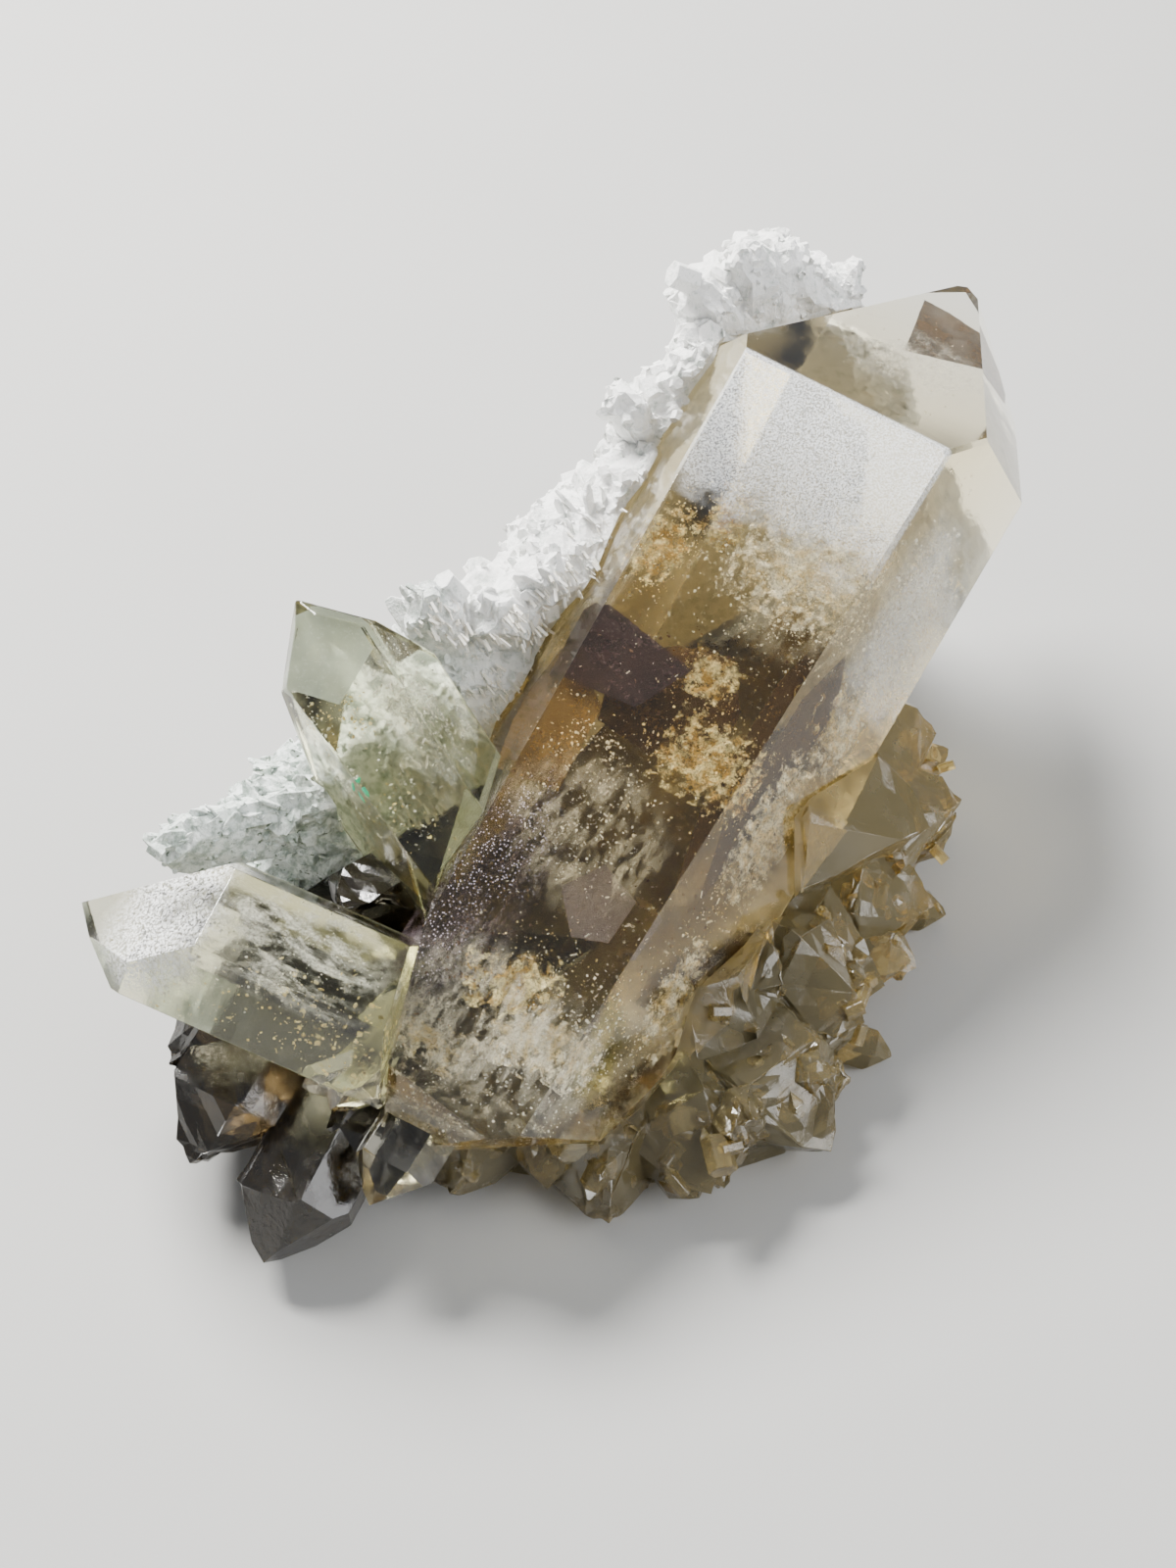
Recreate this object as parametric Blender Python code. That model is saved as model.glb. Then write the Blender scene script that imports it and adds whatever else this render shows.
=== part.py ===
"""A hand specimen of smoky quartz: three big crystals, the crust of small smoky crystals
that they grew from, and the pale rock behind them.

Lengths in the tables are millimetres and angles are degrees; the model itself is in metres,
with +Z up. The origin is on the surface that the specimen rests on, below the middle of the
main crystal. +X is to the right and +Y is away from the side that is looked at.
"""
import math
import random

import bmesh
import bpy
from mathutils import Matrix, Vector, noise

MM = 0.001

# clearance between pieces that touch
GAP = 0.3

# a quartz pyramid face has its normal this far from the crystal's long axis
PYRAMID_TILT = 51.8

# every second pyramid face of a small crystal is the smaller one, set back by this share
# of the crystal's half width
MINOR_FACE_STEP = 0.14

# the block that every crystal is cut from reaches this far from its middle
BLOCK_REACH = 90.0

# points closer than this are one point
SAME_POINT = 0.01

QUARTZ_IOR = 1.544

# Main crystal. Sides are the distances of the six prism faces from the axis, leans are their
# small departures from parallel, and tops are where the pyramid faces meet the axis.
MAIN = {
    "centre": (9.7, 9.9, 26.0), "azimuth": 56.4, "rise": 23.5, "roll": 11.6,
    "sides": (14.0, 17.0, 17.6, 14.0, 12.6, 15.2),
    "leans": (1.0, -0.6, 0.0, 0.0, -3.5, -1.9),
    "tops": (50.2, 60.4, 74.0, 90.0, 71.5, 57.2),
    "breaks": (
        (30, 66, 29.5),
        (-7, 137, 45.7),
        (94, 146, 45.0),
        (-91, 108, 18.1),
        (170, 110, 12.8),
    ),
}

LEFT = {
    "centre": (-19.1, 1.4, 30.4), "azimuth": 131.3, "rise": 34.8, "roll": -34.0,
    "sides": (8.0, 8.0, 6.0, 6.0, 10.7, 7.9),
    "leans": (0.0, 0.0, 0.0, 0.0, 0.0, -2.9),
    "tops": (24.0, 20.4, 12.5, 14.0, 13.0, 20.2),
    "breaks": ((0, 180, 30.0),),
}

LOWER_LEFT = {
    "centre": (-25.4, -23.4, 21.2), "azimuth": 161.5, "rise": 15.4, "roll": -10.0,
    "sides": (7.6, 7.6, 7.6, 7.6, 7.6, 7.6),
    "leans": (0.0, 0.0, 0.0, 0.0, 0.0, 0.0),
    "tops": (21.4, 22.4, 34.0, 34.0, 27.8, 26.8),
    "breaks": ((0, 180, 22.0),),
}

# Clear blades at the foot of the main crystal, grown onto it:
# root, tip, half width, flatness, roll
BLADES = (
    ((-11.0, -20.0, 21.0), (-24.5, -33.0, 15.0), 3.4, 0.55, 20),
    ((-13.0, -24.0, 17.0), (-27.5, -30.0, 14.5), 2.4, 0.70, 65),
    ((-14.0, -30.0, 14.0), (-20.5, -41.0, 11.0), 3.6, 0.80, 0),
)

# The crust rises from this outline on the resting surface
CRUST_OUTLINE = (
    (-34, -12), (-27, -25), (-14, -29), (1, -32), (12, -31), (20, -28), (25, -20), (28, -9),
    (33, 1), (37, 12), (36, 27), (24, 36), (4, 36), (-16, 22), (-34, 4),
)

# height of each step of the mass below the small crystals, and the share of its width that is
# left there
CRUST_STEPS = ((5.0, 1.0), (9.0, 0.86), (17.0, 0.72))

# the mass starts this far below the resting surface and is cut off flat there
CRUST_FOOT = 4.0

# Small smoky crystals of the crust that show as shapes of their own:
# root, tip, half width, flatness, roll
CRUST_CRYSTALS = (
    ((12, 6, 17), (35.5, -0.5, 19), 10.5, 0.85, 10),
    ((20, 16, 12), (39, 18, 14), 9.0, 0.80, 35),
    ((22, 6, 9), (40.5, 8, 14), 7.5, 0.85, 0),
    ((20, 2, 8), (37, -2, 8), 7.0, 0.90, 20),
    ((14, -4, 7), (31, -12, 7), 8.0, 0.90, 50),
    ((8, -8, 10), (19.5, -18, 15), 6.5, 0.70, 15),
    ((12, -6, 8), (28, -19, 10), 7.5, 0.80, 40),
    ((10, -14, 6), (24, -31, 5), 7.5, 0.85, 5),
    ((4, -16, 6), (12, -36, 5), 7.0, 0.80, 25),
    ((0, -18, 6), (2, -38.5, 4), 6.0, 0.80, 50),
    ((-4, -18, 5), (-4, -36, 6), 5.0, 0.90, 0),
    ((-8, -20, 6), (-13.5, -36, 5), 5.0, 0.80, 30),
    ((-18, -16, 12), (-31, -43, 4), 5.6, 0.75, 20),
    ((-20, -16, 10), (-25, -38, 6), 5.6, 0.80, 45),
    ((-24, -8, 14), (-39, -33, 6), 6.2, 0.75, 10),
    ((-24, -8, 10), (-41.5, -24, 10), 5.0, 0.80, 30),
    ((-18, -2, 12), (-24, -14, 22), 6.0, 0.80, 0),
)

# Many smaller ones stand all round the crust's rim. They are scattered by this seed, each value
# between two limits. Rise is upward for one outward, and turn is in radians.
SCATTER_SEED = 41
SCATTER_COUNT = 52
SCATTER_LENGTH = (5.0, 9.5)
SCATTER_HALF_WIDTH = (1.6, 3.4)
SCATTER_FLATNESS = (0.6, 0.95)
SCATTER_RISE = (-0.25, 0.9)
SCATTER_TURN = (-0.7, 0.7)
SCATTER_HEIGHT = (1.0, 9.0)

# share of the way from the rim to the middle at which they have their roots
SCATTER_INSET = 0.12

# Pale rock: lumps along its crest and foot, as middle and radius
ROCK_LUMPS = (
    ((-30, 4, 8), 10.0), ((-28, 9, 8), 10.0), ((-22, 9, 16), 9.5), ((-26, 2, 15), 7.5),
    ((-15, 14, 12), 12.0), ((-11, 15, 24), 9.5), ((-8, 18, 32), 5.5), ((-3, 21, 22), 11.0),
    ((-2, 23, 33), 7.5), ((3, 29, 14), 13.0), ((3, 31, 28), 10.0), ((5, 31, 38), 5.0),
    ((9, 37, 20), 13.0), ((10, 40, 36), 8.5), ((12, 42, 44), 5.0), ((14, 43, 14), 12.0),
    ((16, 48, 30), 11.0), ((16, 50, 44), 6.0), ((21, 50, 20), 11.0), ((21, 53, 41), 7.5),
    ((20, 53, 50.5), 5.0), ((25, 55, 45), 5.5), ((29, 58, 43), 3.2), ((13, 49, 50), 4.2),
    ((8, 40, 43), 4.0), ((10, 42, 8), 13.0), ((-5, 26, 8), 13.0), ((19, 47, 8), 10.0),
)
ROCK_VOXEL = 1.7

# the rock's skin moves in and out this far; detail is how many lumps go to a millimetre
ROCK_ROUGHNESS = 1.5
ROCK_DETAIL = 0.16
ROCK_FRACTAL_FALLOFF = 0.8
ROCK_FRACTAL_STEP = 2.2
ROCK_FRACTAL_LAYERS = 4

# share of the skin's faces that is kept
ROCK_DECIMATE = 0.36

# Flakes and small crystals on the rock: root, tip, half width, flatness, roll
ROCK_CRYSTALS = (
    ((-14, 14, 28), (-16.5, 11, 41.5), 2.8, 0.70, 30),
    ((-9, 16, 28), (-9, 11, 40), 3.4, 0.60, 0),
    ((-6, 20, 28), (-4, 14, 42), 3.2, 0.60, 20),
    ((-24, 0, 22), (-43.5, -9.5, 25), 3.6, 0.50, 80),
    ((-22, 3, 20), (-38, -3, 24), 4.0, 0.50, 65),
    ((6, 36, 41), (3, 34, 49), 2.2, 0.80, 10),
    ((16, 48, 44), (11, 46, 54.5), 2.6, 0.60, 40),
    ((18, 50, 44), (17, 49, 57.5), 2.8, 0.80, 10),
    ((27, 55, 43), (30, 55, 51), 2.0, 0.70, 15),
)

# The crust and the rock meet in a sloping plane: its normal and its distance from the origin
SEAM_NORMAL = (-0.5, 0.65, 0.57)
SEAM_DISTANCE = 19.2

# number of the main crystal's broken face that the lower left crystal abuts
ABUTTING_BREAK = 3


def clear_scene():
    for thing in list(bpy.data.objects):
        bpy.data.objects.remove(thing, do_unlink=True)


def plain_material(name, colour, roughness, transmission=0.0):
    material = bpy.data.materials.new(name)
    material.use_nodes = True
    shader = material.node_tree.nodes["Principled BSDF"]
    shader.inputs["Base Color"].default_value = (*colour, 1.0)
    shader.inputs["Roughness"].default_value = roughness
    shader.inputs["Transmission Weight"].default_value = transmission
    shader.inputs["IOR"].default_value = QUARTZ_IOR
    return material


def crystal_frame(azimuth, rise, roll):
    """Long axis of a crystal, and the two directions across it that its faces count from."""
    azimuth, rise, roll = (math.radians(angle) for angle in (azimuth, rise, roll))
    level = math.cos(rise)
    axis = Vector((level * math.cos(azimuth), level * math.sin(azimuth), math.sin(rise)))
    side = axis.cross(Vector((0, 0, 1))).normalized()
    up = side.cross(axis)
    front = math.cos(roll) * up + math.sin(roll) * side
    return axis, front, axis.cross(front)


def face_direction(frame, around, tilt):
    """Normal of a face: the angle around the axis, and the tilt away from the axis."""
    axis, front, across = frame
    around, tilt = math.radians(around), math.radians(tilt)
    outward = math.cos(around) * front + math.sin(around) * across
    return math.sin(tilt) * outward + math.cos(tilt) * axis


def big_crystal_faces(crystal, grow=0.0):
    """The faces of a big crystal, each as a point and a normal. Grow moves them outwards."""
    frame = crystal_frame(crystal["azimuth"], crystal["rise"], crystal["roll"])
    centre = Vector(crystal["centre"])
    faces = []
    for number in range(6):
        around = 60 * number
        normal = face_direction(frame, around, 90 - crystal["leans"][number])
        faces.append((centre + normal * (crystal["sides"][number] + grow), normal))
        normal = face_direction(frame, around, PYRAMID_TILT)
        depth = crystal["tops"][number] * math.cos(math.radians(PYRAMID_TILT))
        faces.append((centre + normal * (depth + grow), normal))
    for around, tilt, depth in crystal["breaks"]:
        normal = face_direction(frame, around, tilt)
        faces.append((centre + normal * (depth + grow), normal))
    return faces


def small_crystal_faces(root, tip, half_width, flatness, roll):
    """A six-sided crystal with a pyramid at its tip and a plain end inside what it grows from."""
    root, tip = Vector(root), Vector(tip)
    along = tip - root
    azimuth = math.degrees(math.atan2(along.y, along.x))
    rise = math.degrees(math.asin(along.z / along.length))
    frame = crystal_frame(azimuth, rise, roll)
    faces = [(root, -frame[0])]
    for number in range(6):
        width = half_width * (flatness if number % 3 == 0 else 1.0)
        normal = face_direction(frame, 60 * number, 90)
        faces.append((root + normal * width, normal))
        normal = face_direction(frame, 60 * number, PYRAMID_TILT)
        step = half_width * MINOR_FACE_STEP * (number % 2)
        faces.append((tip + normal * step, normal))
    return faces


def cut_away(bm, point, normal):
    """Takes off what is outside one face and closes the cut with a flat face."""
    everything = bm.verts[:] + bm.edges[:] + bm.faces[:]
    result = bmesh.ops.bisect_plane(
        bm, geom=everything, dist=1e-7, plane_co=point * MM, plane_no=normal, clear_outer=True
    )
    rim = [item for item in result["geom_cut"] if isinstance(item, bmesh.types.BMEdge)]
    if rim:
        bmesh.ops.holes_fill(bm, edges=rim, sides=0)


def block_cut_by(faces, middle):
    """A block cut down to the faces given."""
    bm = bmesh.new()
    place = Matrix.Translation(Vector(middle) * MM)
    bmesh.ops.create_cube(bm, size=2 * BLOCK_REACH * MM, matrix=place)
    for point, normal in faces:
        cut_away(bm, point, normal)
    bmesh.ops.recalc_face_normals(bm, faces=bm.faces[:])
    return bm


def object_from(bm, name, material=None):
    mesh = bpy.data.meshes.new(name)
    bm.to_mesh(mesh)
    bm.free()
    thing = bpy.data.objects.new(name, mesh)
    bpy.context.scene.collection.objects.link(thing)
    if material:
        mesh.materials.append(material)
    return thing


def as_tool(thing):
    """Marks a shape that only cuts or joins."""
    thing.hide_render = True
    thing.display_type = "WIRE"
    return thing


def boolean(target, tools, operation):
    """Cuts or joins with one tool after the other, keeps the result and drops the tools."""
    for tool in tools:
        modifier = target.modifiers.new(operation.title(), "BOOLEAN")
        modifier.operation = operation
        modifier.object = tool
        modifier.solver = "EXACT"
        keep_result(target)
        bpy.data.objects.remove(tool, do_unlink=True)


def keep_result(thing):
    """Replaces a piece's mesh by the one that its modifiers give."""
    view = bpy.context.evaluated_depsgraph_get()
    view.update()
    mesh = bpy.data.meshes.new_from_object(thing.evaluated_get(view), depsgraph=view)
    thing.modifiers.clear()
    thing.data = mesh


def keep_largest_piece(thing):
    """Drops the crumbs that a cut leaves, merges doubled points and makes triangles."""
    bm = bmesh.new()
    bm.from_mesh(thing.data)
    bmesh.ops.remove_doubles(bm, verts=bm.verts[:], dist=SAME_POINT * MM)
    bmesh.ops.dissolve_degenerate(bm, edges=bm.edges[:], dist=SAME_POINT * MM)
    bm.verts.ensure_lookup_table()
    unseen = set(bm.verts)
    islands = []
    while unseen:
        island = set()
        border = [unseen.pop()]
        while border:
            vert = border.pop()
            island.add(vert)
            for edge in vert.link_edges:
                other = edge.other_vert(vert)
                if other in unseen:
                    unseen.discard(other)
                    border.append(other)
        islands.append(island)
    islands.sort(key=len)
    crumbs = [vert for island in islands[:-1] for vert in island]
    bmesh.ops.delete(bm, geom=crumbs, context="VERTS")
    bmesh.ops.triangulate(bm, faces=bm.faces[:])
    bm.to_mesh(thing.data)
    bm.free()


def big_crystal(name, crystal, material):
    return object_from(block_cut_by(big_crystal_faces(crystal), crystal["centre"]), name, material)


def grown_tool(crystal):
    """A big crystal made larger by the gap, to cut its neighbours with."""
    block = block_cut_by(big_crystal_faces(crystal, GAP), crystal["centre"])
    return as_tool(object_from(block, "grown crystal"))


def grown_neighbours():
    return [grown_tool(crystal) for crystal in (MAIN, LEFT, LOWER_LEFT)]


def small_crystals(specs, name):
    return [
        as_tool(object_from(block_cut_by(small_crystal_faces(*spec), spec[0]), name))
        for spec in specs
    ]


def grown_blades():
    """The blades on the main crystal's foot, made larger by the gap."""
    grown = []
    for root, tip, half_width, flatness, roll in BLADES:
        tip = Vector(tip)
        longer = tip + (tip - Vector(root)).normalized() * 2 * GAP
        grown.append((root, longer, half_width + 1.5 * GAP, flatness, roll))
    return small_crystals(grown, "grown blade")


def scattered_crystals():
    """Small crystals all round the crust's rim, leaning outwards."""
    chance = random.Random(SCATTER_SEED)
    corners = [Vector((*corner, 0)) for corner in CRUST_OUTLINE]
    middle = sum(corners, Vector()) / len(corners)
    specs = []
    for number in range(SCATTER_COUNT):
        place = number * len(corners) / SCATTER_COUNT
        start = corners[int(place)]
        end = corners[(int(place) + 1) % len(corners)]
        rim = start.lerp(end, place - int(place))
        outward = (rim - middle).normalized()
        outward.z = chance.uniform(*SCATTER_RISE)
        turn = Matrix.Rotation(chance.uniform(*SCATTER_TURN), 3, "Z")
        root = rim.lerp(middle, SCATTER_INSET)
        root.z = chance.uniform(*SCATTER_HEIGHT)
        tip = root + turn @ outward.normalized() * chance.uniform(*SCATTER_LENGTH)
        half_width = chance.uniform(*SCATTER_HALF_WIDTH)
        flatness = chance.uniform(*SCATTER_FLATNESS)
        specs.append((root, tip, half_width, flatness, chance.uniform(0, 60)))
    return specs


def crust_body():
    """The low mass that the small crystals stand in: the outline raised and drawn in."""
    bm = bmesh.new()
    rim = [bm.verts.new(Vector((x, y, -CRUST_FOOT)) * MM) for x, y in CRUST_OUTLINE]
    bottom = top = bm.faces.new(rim)
    middle = sum((vert.co for vert in rim), Vector()) / len(rim)
    for height, shrink in CRUST_STEPS:
        raised = bmesh.ops.extrude_face_region(bm, geom=[top])["geom"]
        if top is not bottom:
            bmesh.ops.delete(bm, geom=[top], context="FACES_ONLY")
        top = next(item for item in raised if isinstance(item, bmesh.types.BMFace))
        for vert in top.verts:
            vert.co.x = middle.x + (vert.co.x - middle.x) * shrink
            vert.co.y = middle.y + (vert.co.y - middle.y) * shrink
            vert.co.z = height * MM
    bmesh.ops.recalc_face_normals(bm, faces=bm.faces[:])
    return bm


def seam(side, gap):
    """The seam between crust and rock, as seen from one side of it, drawn back by a gap."""
    normal = Vector(SEAM_NORMAL).normalized()
    return normal * SEAM_DISTANCE - normal * side * gap, normal * side


def abutting_face():
    """The main crystal's broken face, drawn back by the gap, as the end of its neighbour."""
    frame = crystal_frame(MAIN["azimuth"], MAIN["rise"], MAIN["roll"])
    around, tilt, depth = MAIN["breaks"][ABUTTING_BREAK]
    normal = face_direction(frame, around, tilt)
    return Vector(MAIN["centre"]) + normal * (depth + GAP), -normal


def trim(thing, faces):
    """Cuts a finished piece flat at the faces given."""
    bm = bmesh.new()
    bm.from_mesh(thing.data)
    for point, normal in faces:
        cut_away(bm, point, normal)
    bm.to_mesh(thing.data)
    bm.free()


def resting_face():
    return Vector((0, 0, 0)), Vector((0, 0, -1))


def smoky_crust(material):
    crust = object_from(crust_body(), "smoky_crust", material)
    specs = list(CRUST_CRYSTALS) + scattered_crystals()
    boolean(crust, small_crystals(specs, "crust crystal"), "UNION")
    boolean(crust, grown_neighbours() + grown_blades(), "DIFFERENCE")
    trim(crust, [resting_face(), seam(1, 0)])
    keep_largest_piece(crust)


def roughen(thing):
    """Moves the surface in and out: broad lumps with finer grain on them."""
    mesh = thing.data
    for vert in mesh.vertices:
        place = vert.co * ROCK_DETAIL / MM
        height = noise.fractal(place, ROCK_FRACTAL_FALLOFF, ROCK_FRACTAL_STEP, ROCK_FRACTAL_LAYERS)
        vert.co += vert.normal * height * ROCK_ROUGHNESS * MM


def pale_rock(material):
    bm = bmesh.new()
    for middle, radius in ROCK_LUMPS:
        place = Matrix.Translation(Vector(middle) * MM)
        bmesh.ops.create_icosphere(bm, subdivisions=3, radius=radius * MM, matrix=place)
    rock = object_from(bm, "pale_rock", material)
    remesh = rock.modifiers.new("One skin", "REMESH")
    remesh.mode = "VOXEL"
    remesh.voxel_size = ROCK_VOXEL * MM
    keep_result(rock)
    roughen(rock)
    fewer = rock.modifiers.new("Fewer faces", "DECIMATE")
    fewer.ratio = ROCK_DECIMATE
    keep_result(rock)
    boolean(rock, small_crystals(ROCK_CRYSTALS, "rock crystal"), "UNION")
    boolean(rock, grown_neighbours(), "DIFFERENCE")
    trim(rock, [resting_face(), seam(-1, GAP)])
    keep_largest_piece(rock)


def build():
    clear_scene()
    smoky = plain_material("smoky quartz", (0.42, 0.34, 0.24), 0.08, 0.9)
    pale = plain_material("pale smoky quartz", (0.72, 0.70, 0.58), 0.08, 0.9)
    crust_finish = plain_material("smoky crust", (0.20, 0.15, 0.08), 0.3, 0.3)
    rock_finish = plain_material("pale rock", (0.72, 0.76, 0.72), 0.8)
    main = big_crystal("main_crystal", MAIN, smoky)
    boolean(main, small_crystals(BLADES, "blade"), "UNION")
    keep_largest_piece(main)
    left = big_crystal("left_crystal", LEFT, pale)
    boolean(left, [grown_tool(MAIN)], "DIFFERENCE")
    keep_largest_piece(left)
    lower_left = big_crystal("lower_left_crystal", LOWER_LEFT, pale)
    boolean(lower_left, [grown_tool(MAIN), grown_tool(LEFT)] + grown_blades(), "DIFFERENCE")
    trim(lower_left, [abutting_face()])
    keep_largest_piece(lower_left)
    smoky_crust(crust_finish)
    pale_rock(rock_finish)


build()
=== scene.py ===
"""The looks of the smoky quartz specimen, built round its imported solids.

Numbers in the tables are millimetres and degrees. Across, along and height are places in a big
crystal: across its front face, along its long axis towards the tip, and out towards the front.
"""
import math
import random

import bmesh
import bpy
from mathutils import Matrix, Vector, noise


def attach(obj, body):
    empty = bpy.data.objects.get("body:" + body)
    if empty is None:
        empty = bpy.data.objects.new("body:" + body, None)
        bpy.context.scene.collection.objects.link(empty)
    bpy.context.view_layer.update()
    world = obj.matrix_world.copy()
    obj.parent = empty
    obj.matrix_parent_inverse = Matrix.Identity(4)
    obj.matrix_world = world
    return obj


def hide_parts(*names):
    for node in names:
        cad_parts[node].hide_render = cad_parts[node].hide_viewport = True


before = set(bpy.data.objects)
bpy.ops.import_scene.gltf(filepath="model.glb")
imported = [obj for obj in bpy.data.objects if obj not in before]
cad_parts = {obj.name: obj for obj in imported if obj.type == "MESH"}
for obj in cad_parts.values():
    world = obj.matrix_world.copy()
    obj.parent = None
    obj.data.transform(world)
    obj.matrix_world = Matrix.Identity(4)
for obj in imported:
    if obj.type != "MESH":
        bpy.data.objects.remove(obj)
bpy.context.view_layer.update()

MM = 0.001
BODY = "root"
QUARTZ_IOR = 1.544

# the bend of light at the plates and dark flakes inside the quartz, low so that they don't shine
PLATE_IOR = 1.1

# only larger faces count as a crystal's walls, in square millimetres
MAIN_SMALLEST_WALL = 60
SMALL_SMALLEST_WALL = 12

# faces that lean less apart are one flat face, and corners closer than this are one
FLAT_WITHIN = math.radians(0.6)
SAME_POINT = 0.01 * MM

# sheets inside a crystal stop this far from its walls, and are this thick
SHEET_INSET = 0.5 * MM
SHEET_THICKNESS = 0.06 * MM

# how each big crystal stands: its middle, the compass angle and rise of its axis, and its roll
MAIN = {"centre": (9.7, 9.9, 26.0), "azimuth": 56.4, "rise": 23.5, "roll": 11.6}
LEFT = {"centre": (-19.1, 1.4, 30.4), "azimuth": 131.3, "rise": 34.8, "roll": -34.0}
LOWER_LEFT = {"centre": (-25.4, -23.4, 21.2), "azimuth": 161.5, "rise": 15.4, "roll": -10.0}

# directions in a crystal
ACROSS = (1, 0, 0)
ALONG = (0, 1, 0)
HEIGHT = (0, 0, 1)

# the way that the main crystal's right face looks, and the way down along it
RIGHT_FACE = (0.866, 0, 0.5)
DOWN_RIGHT_FACE = (0.5, 0, -0.866)

# the seam between the crust and the rock
SEAM_NORMAL = (-0.5, 0.65, 0.57)
SEAM_POINT = (-9.6, 12.5, 10.9)


# Places and directions

def crystal_place(crystal):
    """Turns across, along and height in a crystal, in metres, into a place in the room."""
    azimuth, rise, roll = (math.radians(crystal[key]) for key in ("azimuth", "rise", "roll"))
    level = math.cos(rise)
    axis = Vector((level * math.cos(azimuth), level * math.sin(azimuth), math.sin(rise)))
    side = axis.cross(Vector((0, 0, 1))).normalized()
    front = math.cos(roll) * side.cross(axis) + math.sin(roll) * side
    across = axis.cross(front)
    turn = Matrix((across, axis, front)).transposed().to_4x4()
    return Matrix.Translation(Vector(crystal["centre"]) * MM) @ turn


def room_direction(place, direction):
    """A direction in a crystal as one in the room."""
    return place.to_3x3() @ Vector(direction)


def turned_by(tilt):
    """A turn by three angles in degrees, about across, along and height."""
    turn = Matrix.Rotation(math.radians(tilt[0]), 4, "X") @ Matrix.Rotation(math.radians(tilt[1]), 4, "Y")
    return turn @ Matrix.Rotation(math.radians(tilt[2]), 4, "Z")


MAIN_PLACE = crystal_place(MAIN)
LEFT_PLACE = crystal_place(LEFT)
LOWER_LEFT_PLACE = crystal_place(LOWER_LEFT)


# Materials

def socket_name(key):
    return key.replace("_", " ").title().replace("Ior", "IOR")


class Value:
    """A number or vector that a finish works out over a surface. Sums on it add Math nodes."""

    def __init__(self, finish, socket):
        self.finish = finish
        self.socket = socket

    def math(self, operation, first, second=0.0):
        return self.finish.node("ShaderNodeMath", {"operation": operation}, {0: first, 1: second})

    def __add__(self, other):
        return self.math("ADD", self, other)

    def __sub__(self, other):
        return self.math("SUBTRACT", self, other)

    def __rsub__(self, other):
        return self.math("SUBTRACT", other, self)

    def __mul__(self, other):
        return self.math("MULTIPLY", self, other)

    __radd__ = __add__
    __rmul__ = __mul__

    def between(self, low, high, start=0.0, end=1.0):
        """Goes smoothly from start to end while the value goes from low to high."""
        settings = {"interpolation_type": "SMOOTHSTEP"}
        sockets = {"Value": self, "From Min": low, "From Max": high, "To Min": start, "To Max": end}
        return self.finish.node("ShaderNodeMapRange", settings, sockets)


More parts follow.
